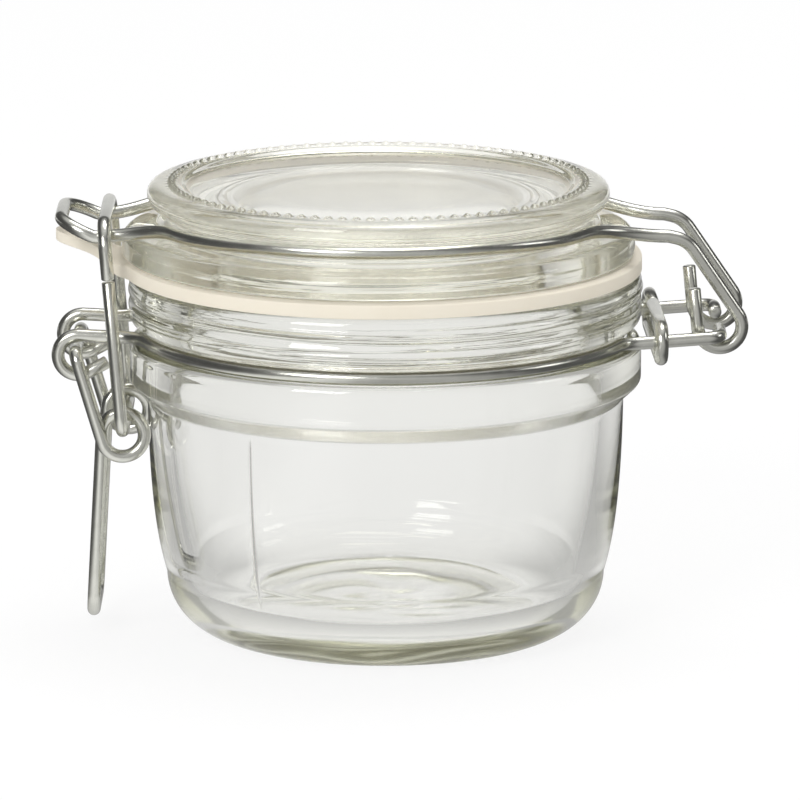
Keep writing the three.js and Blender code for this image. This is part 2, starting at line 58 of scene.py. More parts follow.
camera_data = bpy.data.cameras.new("camera")
camera_data.sensor_width = 36
camera_data.lens = camera_data.sensor_width * CAMERA_DISTANCE / PICTURE_WIDTH
camera_data.clip_start = 0.01
camera = bpy.data.objects.new("camera", camera_data)
towards_camera = Vector((0, -math.cos(CAMERA_ELEVATION), math.sin(CAMERA_ELEVATION)))
camera.location = LOOK_AT + CAMERA_DISTANCE * towards_camera
camera.rotation_euler = towards_camera.to_track_quat("Z", "Y").to_euler()
bpy.context.scene.collection.objects.link(camera)
bpy.context.scene.camera = camera
bpy.context.scene.view_settings.view_transform = "Standard"


# Studio: a white backdrop, a white table and a white ceiling, which metal and glass show too. Between them
# the room is dimmer, and gives the glass its grey edges and the wire its dark bands.
class Socket:
    """A socket of a shader tree. Arithmetic on it adds the Math node that works it out."""

    def __init__(self, tree, output=None):
        self.tree = tree
        self.output = output

    def feed(self, socket, value):
        if isinstance(value, Socket):
            self.tree.links.new(value.output, socket)
        else:
            socket.default_value = value

    def node(self, kind, inputs, out=0, stops=(), **settings):
        made = self.tree.nodes.new("ShaderNode" + kind)
        for name, value in settings.items():
            setattr(made, name, value)
        for place, colour in stops:
            near = [e for e in made.color_ramp.elements if abs(e.position - place) < 1e-6]
            stop = near[0] if near else made.color_ramp.elements.new(place)
            stop.color = colour
        for key, value in inputs.items():
            self.feed(made.inputs[key], value)
        return Socket(self.tree, made.outputs[out])

    def maths(self, operation, a, b):
        return self.node("Math", {0: a, 1: b}, operation=operation)

    def __add__(self, other):
        return self.maths("ADD", self, other)

    def __sub__(self, other):
        return self.maths("SUBTRACT", self, other)

    def __rsub__(self, other):
        return self.maths("SUBTRACT", other, self)

    def __mul__(self, other):
        return self.maths("MULTIPLY", self, other)

    def __truediv__(self, other):
        return self.maths("DIVIDE", self, other)

    def __rtruediv__(self, other):
        return self.maths("DIVIDE", other, self)

    __radd__ = __add__
    __rmul__ = __mul__


def blank_material(name):
    """A new material with its empty tree and its output node."""
    material = bpy.data.materials.new(name)
    material.use_nodes = True
    material.node_tree.nodes.clear()
    output = material.node_tree.nodes.new("ShaderNodeOutputMaterial")
    return material, Socket(material.node_tree), output


WHITE = (1, 1, 1, 1)
ROOM_LIGHT = 0.62  # of the room on the object
DARK_ROOM = 0.07  # what bright metal mirrors between the white cards
GREY_ROOM = 0.56  # beside and in front of the jar, through glass, in the room and as painted shade on the table
DIM_CEILING = 0.72  # overhead through glass
TABLE_SIZE = 6.0
TABLE_GLOW = 0.86  # share of the table's white that no shadow darkens
TABLE_COLOUR = (0.8, 0.8, 0.8, 1)
TABLE_PAINTED_SHADE = 0.10  # painted shade: the white table as bright metal mirrors it
FRONT_CARD = 0.5  # white cards, and painted light on the table before and under the jar, as bright metal mirrors them
CEILING_CARD = 0.6
FRONT_TABLE_PAINTED_LIGHT = 0.4
NEAR_TABLE_PAINTED_LIGHT = 0.4
STRIP_OFF = 0.033  # a painted light strip on the table, seen only in bright metal, to the left of the jar and leaning away from it
STRIP_LEAN = 0.3
STRIP_WIDTH = 0.034
STRIP_SPREAD = 0.16


def smooth_step(shade, value, start, end):
    return shade.node("MapRange", {0: value, 1: start, 2: end}, interpolation_type="SMOOTHSTEP")


def ray_kinds(shade):
    """What the camera sees: straight, through glass and mirrored, each 0 or 1."""
    straight = shade.node("LightPath", {}, out="Is Camera Ray")
    through = shade.node("LightPath", {}, out="Is Transmission Ray")
    glossy = shade.node("LightPath", {}, out="Is Glossy Ray")
    return straight, through, shade.maths("MAXIMUM", glossy - through, 0)


def mix(shade, share, first, second):
    return shade.node("MixShader", {0: share, 1: first, 2: second})


world = bpy.data.worlds.new("white_room")
bpy.context.scene.world = world
world.use_nodes = True
world.node_tree.nodes.clear()
shade = Socket(world.node_tree)
straight, through, mirrored_ray = ray_kinds(shade)
outward = shade.node("TexCoord", {}, out="Generated")
backward = shade.node("SeparateXYZ", {0: outward}, out="Y")
upward = shade.node("SeparateXYZ", {0: outward}, out="Z")
white, dark, grey, dim, plain = (
    shade.node("Background", {"Color": WHITE, "Strength": strength})
    for strength in (1, DARK_ROOM, GREY_ROOM, DIM_CEILING, ROOM_LIGHT)
)
backdrop = smooth_step(shade, backward, 0.92, 1)
front = smooth_step(shade, backward, -0.5, -0.95)
above = smooth_step(shade, upward, 0.6, 0.95)
cards = shade.maths("MAXIMUM", front * FRONT_CARD, above * CEILING_CARD)
cards = shade.maths("MAXIMUM", backdrop, cards)
in_mirror = mix(shade, cards, dark, white)
in_glass = mix(shade, smooth_step(shade, backward, 0.45, 0.9), grey, white)
in_glass = mix(shade, smooth_step(shade, upward, 0.3, 0.8), in_glass, dim)
seen = mix(shade, through, mix(shade, straight, plain, white), in_glass)
room = mix(shade, mirrored_ray, seen, in_mirror)
shade.feed(world.node_tree.nodes.new("ShaderNodeOutputWorld").inputs["Surface"], room)

table_material, shade, output = blank_material("table_white")
straight, through, mirrored_ray = ray_kinds(shade)
place = shade.node("NewGeometry", {}, out="Position")
across = shade.node("SeparateXYZ", {0: place}, out="X")
back = shade.node("SeparateXYZ", {0: place}, out="Y")
from_axis = shade.maths("SQRT", across * across + back * back, 0)
# Painted light and shade, seen only in bright metal: there the white table is dark, with painted light in a
# strip to the left of the jar, before it and near it, and white far behind it.
strip_width = STRIP_WIDTH - shade.maths("MINIMUM", back, 0) * STRIP_SPREAD
aside = (across - (back * STRIP_LEAN - STRIP_OFF)) / strip_width
painted_light_strip = shade.maths("EXPONENT", aside * aside * -1, 0) * smooth_step(shade, back, 0.02, -0.02)
front = smooth_step(shade, back / from_axis, -0.35, -0.9) * FRONT_TABLE_PAINTED_LIGHT
behind = smooth_step(shade, back, 0.15, 0.6)
paint = shade.node("BsdfDiffuse", {"Color": TABLE_COLOUR})
shadowed = shade.node("BsdfDiffuse", {"Color": (1 - TABLE_GLOW,) * 3 + (1,)})
glow = shade.node("Emission", {"Color": WHITE, "Strength": TABLE_GLOW})
bright = shade.node("AddShader", {0: shadowed, 1: glow})
white, dark, grey = (
    shade.node("Emission", {"Color": WHITE, "Strength": strength})
    for strength in (1, TABLE_PAINTED_SHADE, GREY_ROOM)
)
# Painted shade: through glass, the table is grey beside and before the jar and under its heel, and white
# only under its floor and far behind it.
beyond = smooth_step(shade, back / from_axis, 0.45, 0.9)
unshaded_under_floor = smooth_step(shade, from_axis, 0.03, 0.021)
in_glass = mix(shade, shade.maths("MAXIMUM", beyond, unshaded_under_floor), grey, bright)
painted_light_near = smooth_step(shade, from_axis, 0.075, 0.045) * NEAR_TABLE_PAINTED_LIGHT
light = shade.maths("MAXIMUM", behind, painted_light_near)
light = shade.maths("MAXIMUM", shade.maths("MAXIMUM", painted_light_strip, front), light)
seen = mix(shade, through, mix(shade, straight, paint, bright), in_glass)
shade.feed(output.inputs["Surface"], mix(shade, mirrored_ray, seen, mix(shade, light, dark, white)))

table_half = TABLE_SIZE / 2
corners = [(x * table_half, y * table_half, 0) for x, y in ((-1, -1), (1, -1), (1, 1), (-1, 1))]
table_mesh = bpy.data.meshes.new("table")
table_mesh.from_pydata(corners, [], [(0, 1, 2, 3)])
table_mesh.materials.append(table_material)
table = bpy.data.objects.new("table", table_mesh)
bpy.context.scene.collection.objects.link(table)

for name, location, size, watts in (
    ("softbox_left", (-0.52, -0.86, 0.62), 0.46, 4.8),
    ("softbox_top", (0.15, 0.25, 1.15), 0.6, 4.5),
    ("softbox_right", (0.95, -0.15, 0.5), 0.3, 0.7),
):
    light = bpy.data.lights.new(name, "AREA")
    light.shape = "SQUARE"
    light.size = size
    light.energy = watts
    softbox = bpy.data.objects.new(name, light)
    softbox.location = location
    softbox.rotation_euler = (Vector(location) - LOOK_AT).to_track_quat("Z", "Y").to_euler()
    bpy.context.scene.collection.objects.link(softbox)


# Glass jar: clear pressed glass with a tapered body on a rounded heel, a collar, the groove for the neck
# wire and a thick lip. The mould leaves two upright seams, a rippled lip and a hazy step at the collar.
light_paths = bpy.context.scene.cycles
light_paths.max_bounces = 48  # light runs far round inside the thick lip, flange and heel
light_paths.transmission_bounces = 48
light_paths.glossy_bounces = 32
JAR_TINT = (0.97, 0.97, 0.97, 1)
GLASS_DEPTH = (0.90, 0.90, 0.85, 1)  # its olive-grey cast
GLASS_IOR = 1.51
HAZE_EDGE = 0.3
HAZE_FADE = 3
WIRE = 1.8
FIT = 0.3
SEAT = WIRE / 2 + FIT


def to_mm(corner):
    return Vector(corner) / MM


def pressed_glass(name, tint, lines_from, lines_to, softness, cast, hazy=()):
    """Clear glass with the soft waves that pressing leaves, an olive-grey cast in its depth, and fine level
    lines where the mould's neck ring has slid, between two heights in millimetres. Each hazy place lies
    between two heights and within a distance of the axis, where the mould has left the glass less smooth."""
    material, shade, output = blank_material(name)
    place = shade.node("TexCoord", {}, out="Object")
    broad = shade.node("Mapping", {"Vector": place, "Scale": (60, 60, 120)})
    waves = shade.node("TexNoise", {"Vector": broad, "Scale": 1, "Detail": 1, "Roughness": 0.4})
    fine = shade.node("Mapping", {"Vector": place, "Scale": (18, 18, 1100)})
    lines = shade.node("TexNoise", {"Vector": fine, "Scale": 1, "Detail": 2, "Roughness": 0.5})
    across, back, height = (shade.node("SeparateXYZ", {0: place}, out=i) for i in range(3))
    from_axis = shade.maths("SQRT", across * across + back * back, 0)
    for low, high, within, amount in hazy:
        risen = smooth_step(shade, height, (low - HAZE_EDGE) * MM, (low + HAZE_EDGE) * MM)
        not_over = smooth_step(shade, height, (high + HAZE_EDGE) * MM, (high - HAZE_EDGE) * MM)
        near = smooth_step(shade, from_axis, within * MM, (within - HAZE_FADE) * MM)
        softness = softness + risen * not_over * near * amount
    above = shade.node("MapRange", {0: height, 1: (lines_from - 1) * MM, 2: lines_from * MM})
    below = shade.node("MapRange", {0: height, 1: (lines_to + 1) * MM, 2: lines_to * MM})
    relief_height = waves * 0.06 + lines * above * below * 0.6
    relief = shade.node("Bump", {"Height": relief_height, "Distance": 0.16 * MM, "Strength": 1})
    glass = shade.tree.nodes.new("ShaderNodeBsdfPrincipled")
    shade.feed(glass.inputs["Base Color"], tint)
    shade.feed(glass.inputs["Roughness"], softness)
    shade.feed(glass.inputs["IOR"], GLASS_IOR)
    shade.feed(glass.inputs["Transmission Weight"], 1.0)
    shade.feed(glass.inputs["Normal"], relief)
    depth = shade.node("VolumeAbsorption", {"Color": GLASS_DEPTH, "Density": cast})
    shade.feed(output.inputs["Surface"], Socket(shade.tree, glass.outputs[0]))
    shade.feed(output.inputs["Volume"], depth)
    return material


def arc(centre, radius, start, end, step=4):
    """Points of a plane along an arc, in degrees, both ends included."""
    turn = np.radians(np.linspace(start, end, max(2, math.ceil(abs(end - start) / step) + 1)))
    return [(centre[0] + radius * math.cos(t), centre[1] + radius * math.sin(t)) for t in turn]


def curve(start, pull, end, count=14):
    """Points along a curve that leaves start and reaches end towards the point pull."""
    t = np.linspace(0, 1, count)[:, None]
    points = (1 - t) ** 2 * np.array(start) + 2 * t * (1 - t) * np.array(pull) + t**2 * np.array(end)
    return [tuple(p) for p in points]


def without_repeats(points):
    """The same points without those that lie on the one before."""
    kept = [points[0]]
    for point in points[1:]:
        if math.dist(point, kept[-1]) > 1e-4:
            kept.append(point)
    return kept


def add_piece(name, points, faces, material, uvs=None):
    """A smooth mesh from points in millimetres, with its faces turned outwards."""
    mesh = bpy.data.meshes.new(name)
    mesh.from_pydata([Vector(p) * MM for p in points], [], faces)
    if uvs is not None:
        layer = mesh.uv_layers.new(name="along")
        layer.data.foreach_set("uv", np.asarray(uvs, np.float32).ravel())
    work = bmesh.new()
    work.from_mesh(mesh)
    bmesh.ops.recalc_face_normals(work, faces=work.faces)
    work.to_mesh(mesh)
    work.free()
    mesh.polygons.foreach_set("use_smooth", [True] * len(mesh.polygons))
    mesh.materials.append(material)
    piece = bpy.data.objects.new(name, mesh)
    bpy.context.scene.collection.objects.link(piece)
    return piece


def turned(name, profile, angles, material, axis_x=0.0, relief=None):
    """A piece turned about an upright axis from a profile of radius and height that starts and ends on it.
    relief gives the extra radius and height at a radius, a height and all the angles."""
    profile = without_repeats(profile)
    count = len(angles)
    points = [(axis_x, 0, profile[0][1])]
    for radius, height in profile[1:-1]:
        out, up = relief(radius, height, angles) if relief else (0 * angles, 0 * angles)
        x, y = (radius + out) * np.cos(angles) + axis_x, (radius + out) * np.sin(angles)
        points += list(zip(x, y, height + up))
    points.append((axis_x, 0, profile[-1][1]))
    rows = len(profile) - 2
    faces = []
    for i in range(count):
        j = (i + 1) % count
        faces.append((0, 1 + i, 1 + j))
        for row in range(rows - 1):
            a, b = 1 + row * count, 1 + (row + 1) * count
            faces.append((a + i, a + j, b + j, b + i))
        last = 1 + (rows - 1) * count
        faces.append((last + i, last + j, len(points) - 1))
    return add_piece(name, points, faces, material)


jar_high = to_mm(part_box("glass_jar")[1])
NECK_R = jar_high.x
RIM_Z = jar_high.z
BASE_R = 22
HEEL_R = 8.2
NECK_RING_R = NECK_R - 1
NECK_RING_Z = RIM_Z - 8.2
BODY_TOP_R = NECK_R - 2.4
BODY_TOP_Z = NECK_RING_Z - 9.3
COLLAR_Z = BODY_TOP_Z + 2.4
COLLAR_TOP = NECK_RING_Z - SEAT
MOUTH_R = NECK_R - 7.6
WALL = 3.1
FLOOR = 4.4
UNDERSIDE = 0.7  # of the middle above the table
LIP_BOTTOM = NECK_RING_Z + SEAT
LIP_EDGE = 1.5
MOUTH_EDGE = 0.8
HEEL_TOP_R = BASE_R + HEEL_R
BOW_R = (HEEL_TOP_R + BODY_TOP_R) / 2 + 1.1
MIDDLE_Z = (HEEL_R + BODY_TOP_Z) / 2
SEAM_ANGLES = np.radians([-123.5, 56.5])
SEAM_HEIGHTS = (0.2, 0.04)
SEAM_WIDTH = 0.2
LIP_FROM = LIP_BOTTOM + LIP_EDGE
LIP_TO = RIM_Z - LIP_EDGE
LIP_SLOPE = 0.30
COLLAR_EDGE = 1.5
FLOOR_WAVE = 0.09
INNER_R = BODY_TOP_R - WALL
INNER_LOW_R = HEEL_TOP_R - WALL
INNER_HEEL = 6.4
FLOOR_R = INNER_LOW_R - INNER_HEEL
jar_profile = [
    (0, UNDERSIDE),
    *curve((3, UNDERSIDE), (14, UNDERSIDE), (BASE_R - 1.5, 0), 30),
    *arc((BASE_R, HEEL_R), HEEL_R, -90, 0, 2),
    *curve((HEEL_TOP_R, HEEL_R), (BOW_R, MIDDLE_Z - 5), (BODY_TOP_R, BODY_TOP_Z), 44),
    *curve(
        (BODY_TOP_R, BODY_TOP_Z),
        (BODY_TOP_R, BODY_TOP_Z + 0.3),
        (BODY_TOP_R + 0.3, BODY_TOP_Z + 0.5),
        5,
    ),
    *curve((NECK_R - 0.4, COLLAR_Z - 0.3), (NECK_R, COLLAR_Z), (NECK_R, COLLAR_Z + 0.4), 6),
    *curve((NECK_R, COLLAR_TOP - COLLAR_EDGE), (NECK_R, COLLAR_TOP), (NECK_RING_R, COLLAR_TOP)),
    *arc((NECK_RING_R, NECK_RING_Z), SEAT, -90, -270, 10),
    *curve((NECK_RING_R, LIP_BOTTOM), (NECK_R, LIP_BOTTOM), (NECK_R, LIP_FROM)),
    *[(NECK_R, z) for z in np.linspace(LIP_FROM, LIP_TO, 56)],
    *curve((NECK_R, LIP_TO), (NECK_R, RIM_Z), (NECK_R - LIP_EDGE, RIM_Z)),
    *arc((MOUTH_R + MOUTH_EDGE, RIM_Z - MOUTH_EDGE), MOUTH_EDGE, 90, 180, 10),
    *curve((MOUTH_R, NECK_RING_Z + 3), (MOUTH_R, NECK_RING_Z + 0.5), (MOUTH_R + 1, NECK_RING_Z - 1), 14),
    *curve((MOUTH_R + 1, NECK_RING_Z - 1), (INNER_R, COLLAR_TOP - 1.2), (INNER_R, COLLAR_TOP - 3)),
    *curve((INNER_R, BODY_TOP_Z), (BOW_R - WALL, MIDDLE_Z), (INNER_LOW_R, FLOOR + INNER_HEEL), 44),
    *curve((INNER_LOW_R, FLOOR + INNER_HEEL), (INNER_LOW_R - 0.6, FLOOR), (FLOOR_R, FLOOR), 40),
    *[(r, FLOOR) for r in np.linspace(FLOOR_R - 0.3, 2, 24)],
    (0, FLOOR),
]


def ripples(along, angles, slope):
    """Level ripples that wander slowly round the glass, as a function of a length along its profile."""
    total = 0 * angles
    for k, wave in enumerate((0.8, 1.1, 1.5, 2.1, 3.1)):
        wander = 1.3 * np.sin(angles + 2.1 * k) + 0.7 * np.sin(3 * angles + 1.3 * k)
        swell = 0.65 + 0.35 * np.sin(2 * angles + 4.4 * k)
        height = slope * min(1.0, wave / 1.6) * wave / (2 * math.pi)
        total = total + height * swell * np.sin(2 * math.pi * along / wave + wander + k)
    return total


def jar_relief(radius, height, angles):
    """The mould's two upright seams on the body, the rippled lip and the slightly uneven floor."""
    none = 0 * angles
    if radius > HEEL_TOP_R - 0.5 and HEEL_R < height < BODY_TOP_Z:
        out = none
        for seam, raised in zip(SEAM_ANGLES, SEAM_HEIGHTS):
            away = np.abs(np.angle(np.exp(1j * (angles - seam)))) * radius
            out = out + raised * np.exp(-((away / SEAM_WIDTH) ** 2))
        return out * min(1.0, (height - HEEL_R) / 5), none
    if radius > NECK_R - 0.01 and LIP_FROM <= height <= LIP_TO:
        fade = min(1.0, (height - LIP_FROM) / 0.5, (LIP_TO - height) / 0.5)
        return fade * ripples(height, angles, LIP_SLOPE), none
    if radius < INNER_LOW_R - 0.3 and FLOOR - 0.01 <= height < FLOOR + 4:
        drift = np.sin(2 * angles + radius / 2.3) + 0.6 * np.sin(5 * angles - radius / 1.5 + 1)
        return none, FLOOR_WAVE * min(1.0, radius / 8) * (1 - (height - FLOOR) / 4) * drift
    return none, none


even = np.linspace(-math.pi, math.pi, 200, endpoint=False)
at_seams = [s + np.linspace(-1.6, 1.6, 17) * SEAM_WIDTH / HEEL_TOP_R for s in SEAM_ANGLES]
jar_angles = np.unique(np.concatenate([even, *at_seams]).round(5))
hazy = [(BODY_TOP_Z, COLLAR_Z, NECK_R + 5, 0.24), (FLOOR - 0.6, FLOOR + 1.5, INNER_LOW_R - 1, 0.12)]
jar_glass = pressed_glass("jar_glass", JAR_TINT, LIP_BOTTOM, RIM_Z, 0.0, 80, hazy)
jar = turned("jar_body", jar_profile, jar_angles, jar_glass, relief=jar_relief)
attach(jar, "jar")
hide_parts("glass_jar")


# Neck wire: two halves of bright plated steel wire in the neck groove, each bent into an eye for the lever
# at the front and into a hinge arm with a cut-off pin at the back.
SIDES = 20
CHAMFER = 0.12


def plated_wire(name):
    """Drawn steel wire with bright plating: fine lines along it, cloudy patches and duller spots."""
    material, shade, output = blank_material(name)
    along = shade.node("UVMap", {}, out=0, uv_map="along")
    split = shade.tree.nodes.new("ShaderNodeSeparateXYZ")
    shade.feed(split.inputs[0], along)
    length, round_it = (Socket(shade.tree, split.outputs[i]) for i in range(2))
    turn = round_it * (2 * math.pi)
    side = shade.maths("COSINE", turn, 0)
    front = shade.maths("SINE", turn, 0)
    drawn = shade.node("CombineXYZ", {0: side * 6, 1: front * 6, 2: length * 0.35})
    lines = shade.node("TexNoise", {"Vector": drawn, "Scale": 2.2, "Detail": 2, "Roughness": 0.5})
    place = shade.node("TexCoord", {}, out="Object")
    clouds = shade.node("TexNoise", {"Vector": place, "Scale": 420, "Detail": 4, "Roughness": 0.6})
    worn = shade.node("TexNoise", {"Vector": place, "Scale": 230, "Detail": 3, "Roughness": 0.7})
    marks = smooth_step(shade, worn, 0.68, 0.82)
    tone = (clouds * 0.6 + lines * 0.4) * (1 - marks * 0.5)
    colour = shade.node(
        "ValToRGB",
        {0: tone},
        stops=[(0.0, (0.54, 0.54, 0.48, 1)), (0.5, (0.73, 0.73, 0.67, 1)), (1.0, (0.86, 0.86, 0.81, 1))],
    )
    relief = shade.node("Bump", {"Height": lines, "Distance": 0.006 * MM, "Strength": 1})
    steel = shade.tree.nodes.new("ShaderNodeBsdfPrincipled")
    shade.feed(steel.inputs["Base Color"], colour)
    shade.feed(steel.inputs["Metallic"], 1.0)
    shade.feed(steel.inputs["Roughness"], 0.17 + clouds * 0.14 + marks * 0.08)
    shade.feed(steel.inputs["Normal"], relief)
    shade.feed(output.inputs["Surface"], Socket(shade.tree, steel.outputs[0]))
    return material


wire_steel = plated_wire("plated_wire")


def rounded_corner(a, b, c, radius, step=5):
    """Points of the bend of the given radius that rounds the corner at b of the line a-b-c."""
    a, b, c = (np.array(p, float) for p in (a, b, c))
    back = (a - b) / np.linalg.norm(a - b)
    on = (c - b) / np.linalg.norm(c - b)
    half = math.acos(np.clip(back @ on, -1, 1)) / 2
    middle = b + (back + on) / np.linalg.norm(back + on) * radius / math.sin(half)
    start = b + back * radius / math.tan(half) - middle
    aside = -back * radius
    turn = math.pi - 2 * half
    angles = np.linspace(0, turn, max(3, math.ceil(math.degrees(turn) / step)))
    return [tuple(middle + start * math.cos(t) + aside * math.sin(t)) for t in angles]


def upright(points, y):
    return [(x, y, z) for x, z in points]


def level(points, z):
    return [(x, y, z) for x, y in points]


def mirrored(points):
    return [(x, -y, z) for x, y, z in points]


def wire_piece(name, path):
    """A round wire along a path, with cut ends whose edges are slightly broken. Its map runs in millimetres
    along the wire and once round it."""
    path = np.array(without_repeats(path))
    steps = np.linalg.norm(np.diff(path, axis=0), axis=1)
    travelled = np.concatenate([[0], np.cumsum(steps)])
    ahead = np.diff(path, axis=0) / steps[:, None]
    tangents = np.vstack([ahead[:1], ahead[:-1] + ahead[1:], ahead[-1:]])
    tangents /= np.linalg.norm(tangents, axis=1)[:, None]
    side = np.cross(tangents[0], (0.3, 0.2, 1.0))
    rings = []
    for point, tangent in zip(path, tangents):
        side = side - tangent * (side @ tangent)
        side /= np.linalg.norm(side)
        rings.append((point, tangent, side.copy()))
    first, last = rings[0], rings[-1]
    inset = WIRE / 2 - CHAMFER
    sections = [(first[0], first[1], first[2], inset, 0.0)]
    sections.append((first[0] + first[1] * CHAMFER, first[1], first[2], WIRE / 2, CHAMFER))
    sections += [(p, t, s, WIRE / 2, d) for (p, t, s), d in zip(rings[1:-1], travelled[1:-1])]
    sections.append((last[0] - last[1] * CHAMFER, last[1], last[2], WIRE / 2, travelled[-1] - CHAMFER))
    sections.append((last[0], last[1], last[2], inset, travelled[-1]))
    turn = np.linspace(0, 2 * math.pi, SIDES, endpoint=False)
    points = []
    for centre, tangent, across, radius, _ in sections:
        up = np.cross(tangent, across)
        points += [tuple(centre + radius * (math.cos(t) * across + math.sin(t) * up)) for t in turn]
    faces, uvs = [], []
    for k in range(len(sections) - 1):
        d0, d1 = sections[k][4], sections[k + 1][4]
        for i in range(SIDES):
            j = (i + 1) % SIDES
            faces.append((k * SIDES + i, k * SIDES + j, (k + 1) * SIDES + j, (k + 1) * SIDES + i))
            u0, u1 = i / SIDES, (i + 1) / SIDES
            uvs += [(d0, u0), (d0, u1), (d1, u1), (d1, u0)]
    top = (len(sections) - 1) * SIDES
    faces.append(tuple(range(SIDES))[::-1])
    faces.append(tuple(range(top, top + SIDES)))
    uvs += [(sections[0][4], i / SIDES) for i in range(SIDES)][::-1]
    uvs += [(sections[-1][4], i / SIDES) for i in range(SIDES)]
    return add_piece(name, points, faces, wire_steel, uvs)


def ring_exit(ring_radius, half, bend_radius):
    """Where a wire leaves a ring for an arm at a half width: the bend's centre, and the ring's angle."""
    across = half + bend_radius
    along = math.sqrt((ring_radius + bend_radius) ** 2 - across**2)
    return along, across, math.degrees(math.atan2(across, along))


joint_places = {j["name"]: to_mm(j["pos_m"]) for j in frame["joints"]}
PIVOT = joint_places["lever_swing"]
HINGE = joint_places["lid_hinge"]
LINK_BAR = joint_places["link_swing"]
EYE_BORE = 3.7
EYE_R = (EYE_BORE + WIRE) / 2
EYE_HALF = 7.1
EYE_BEAR = math.radians(122)  # where the pulled lever bears in the eyes
EYE_TAIL = 3
EYE_TAIL_TILT = 29
EYE_BEND_R = 5
HINGE_HALF = 11.2
HINGE_BEND_R = 4
PIN_BEND_R = 1.7
HOOK_HALF = HINGE_HALF - WIRE - 1.4
PIN_END = HOOK_HALF - WIRE / 2 - 1.6


def seated(bore):
    """From a bore's centre to a wire that bears on its inside."""
    return (bore - WIRE) / 2 - FIT


def neck_half():
    """Half of the neck wire, on the camera's side: eye, half ring, hinge arm and pin."""
    bearing = seated(EYE_BORE)
    eye = (PIVOT.x - bearing * math.cos(EYE_BEAR), PIVOT.z - bearing * math.sin(EYE_BEAR))
    tail_angle = EYE_TAIL_TILT - 90
    eye_arc = arc(eye, EYE_R, tail_angle, -270, 6)
    tilt = math.radians(EYE_TAIL_TILT)
    tail = (eye_arc[0][0] + EYE_TAIL * math.cos(tilt), eye_arc[0][1] + EYE_TAIL * math.sin(tilt))
    front_x, front_y, front_angle = ring_exit(NECK_RING_R, EYE_HALF, EYE_BEND_R)
    rear_x, rear_y, rear_angle = ring_exit(NECK_RING_R, HINGE_HALF, HINGE_BEND_R)
    arm = (rear_x, -HINGE_HALF, NECK_RING_Z)
    corner = (HINGE.x, -HINGE_HALF, HINGE.z)
    end = (HINGE.x, -PIN_END, HINGE.z)
    return [
        *upright([tail, *eye_arc], -EYE_HALF),
        *level(arc((-front_x, -front_y), EYE_BEND_R, 90, front_angle), NECK_RING_Z),
        *level(arc((0, 0), NECK_RING_R, 180 + front_angle, 360 - rear_angle, 2), NECK_RING_Z),
        *level(arc((rear_x, -rear_y), HINGE_BEND_R, 180 - rear_angle, 90), NECK_RING_Z),
        *rounded_corner(arm, corner, end, PIN_BEND_R),
        end,
    ]


for side, path in (("near", neck_half()), ("far", mirrored(neck_half()))):
    wire = wire_piece("neck_bail_" + side, path)
    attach(wire, "jar")
    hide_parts("neck_wire_" + side)


# Tie ring: a small oval of the same wire, closed round both hinge arms so that they can't spread. Its cut
# ends meet on the upper side.
TIE_SLACK = 0.25
TIE_SKEW = 0.45
TIE_BUTT = 4
BUTT_GAP = 0.3

tie_low, tie_high = map(to_mm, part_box("rear_tie_ring"))
tie_x = (tie_low.x + tie_high.x) / 2
tie_top = tie_high.z - WIRE / 2
tie_half_height = WIRE + FIT + TIE_SLACK / 2
tie_end = tie_high.y - WIRE / 2 - tie_half_height
oval = [
    (TIE_BUTT + BUTT_GAP, tie_top),
    *arc((tie_end, tie_top - tie_half_height), tie_half_height, 90, -90),
    *arc((-tie_end, tie_top - tie_half_height), tie_half_height, -90, -270),
    (TIE_BUTT, tie_top),
]
tie_half_width = tie_high.y - WIRE / 2
tie = wire_piece("tie_oval", [(tie_x - TIE_SKEW * y / tie_half_width, y, z) for y, z in oval])
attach(tie, "jar")
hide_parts("rear_tie_ring")


# Glass lid: pressed clear glass with a hollow plug, a sealing flange, the groove for the lid wire and a
# crown whose recessed panel lies inside a ring of small beads.
lid_low, lid_high = map(to_mm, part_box("glass_lid"))
LID_X = (lid_low.x + lid_high.x) / 2
TOP_Z = lid_high.z
PLUG_Z = lid_low.z
LID_Z = PLUG_Z + 4.6
SHOULDER_Z = LID_Z + 3.4
LID_RING_R = NECK_R - 4.9
LID_RING_Z = SHOULDER_Z + 2.1
PLUG_R = MOUTH_R - 1.25
PLUG_WALL = 3.4
HOLLOW_R = PLUG_R - PLUG_WALL
CEILING = TOP_Z - 5.0
CROWN_R = LID_RING_R + 1.4
CROWN_Z = LID_RING_Z + SEAT
PANEL_R = CROWN_R - 5.2
PANEL_Z = TOP_Z - 0.8
LID_TINT = (0.97, 0.962, 0.90, 1)
BEAD_RING_R = 28.3
BEAD_R = 0.55
BEAD_HEIGHT = 0.44
BEADS = 94
COLUMNS_PER_BEAD = 8
